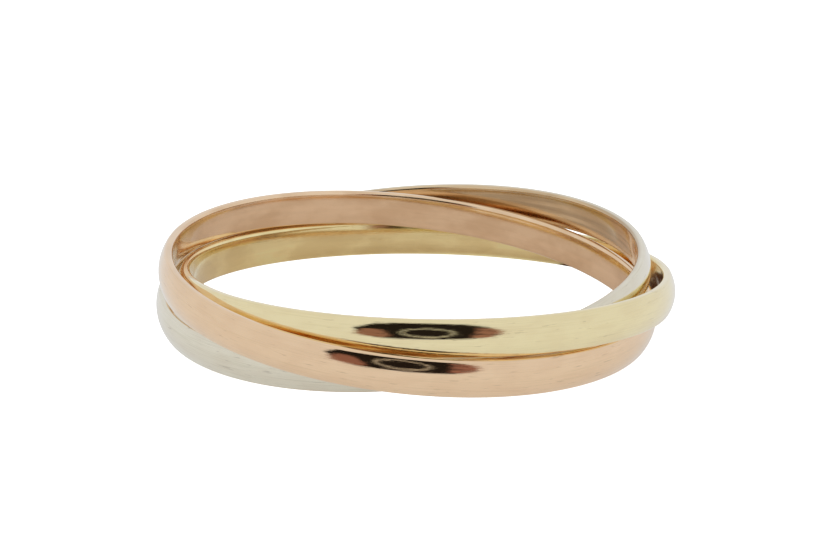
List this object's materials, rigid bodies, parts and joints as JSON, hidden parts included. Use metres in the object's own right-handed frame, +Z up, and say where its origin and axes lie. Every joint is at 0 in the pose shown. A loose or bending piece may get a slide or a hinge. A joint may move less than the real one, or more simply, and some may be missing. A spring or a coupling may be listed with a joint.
{
  "type": "rolling ring",
  "caption": "Slim interlinked finger ring of equal D-section bands in white, rose and yellow gold, each passing through the others so that they roll over the finger.",
  "frame": {"origin": "under the middle of the ring's outline, on the surface that it lies on", "axes": "+Z up, through the finger opening; the side seen first towards -Y, +X to its right"},
  "size_m": [0.0206, 0.0206, 0.0035],
  "materials": {
    "white_gold": "polished white gold with fine wear lines round the band",
    "rose_gold": "polished rose gold with fine wear lines round the band",
    "yellow_gold": "polished yellow gold with fine wear lines round the band"
  },
  "bodies": {
    "white_band": {"white_band": "white_gold"},
    "rose_band": {"rose_band": "rose_gold"},
    "yellow_band": {"yellow_band": "yellow_gold"}
  },
  "joints": [
    {"name": "rose_spin", "type": "hinge", "parent": "white_band", "child": "rose_band", "pos_m": [-0.00026, -0.00045, 0.00174], "axis": [0.1017, -0.0315, 0.9943], "continuous": true},
    {"name": "yellow_spin", "type": "hinge", "parent": "white_band", "child": "yellow_band", "pos_m": [0.00044, 0.00005, 0.00168], "axis": [0.0075, 0.1, 0.995], "continuous": true}
  ]
}
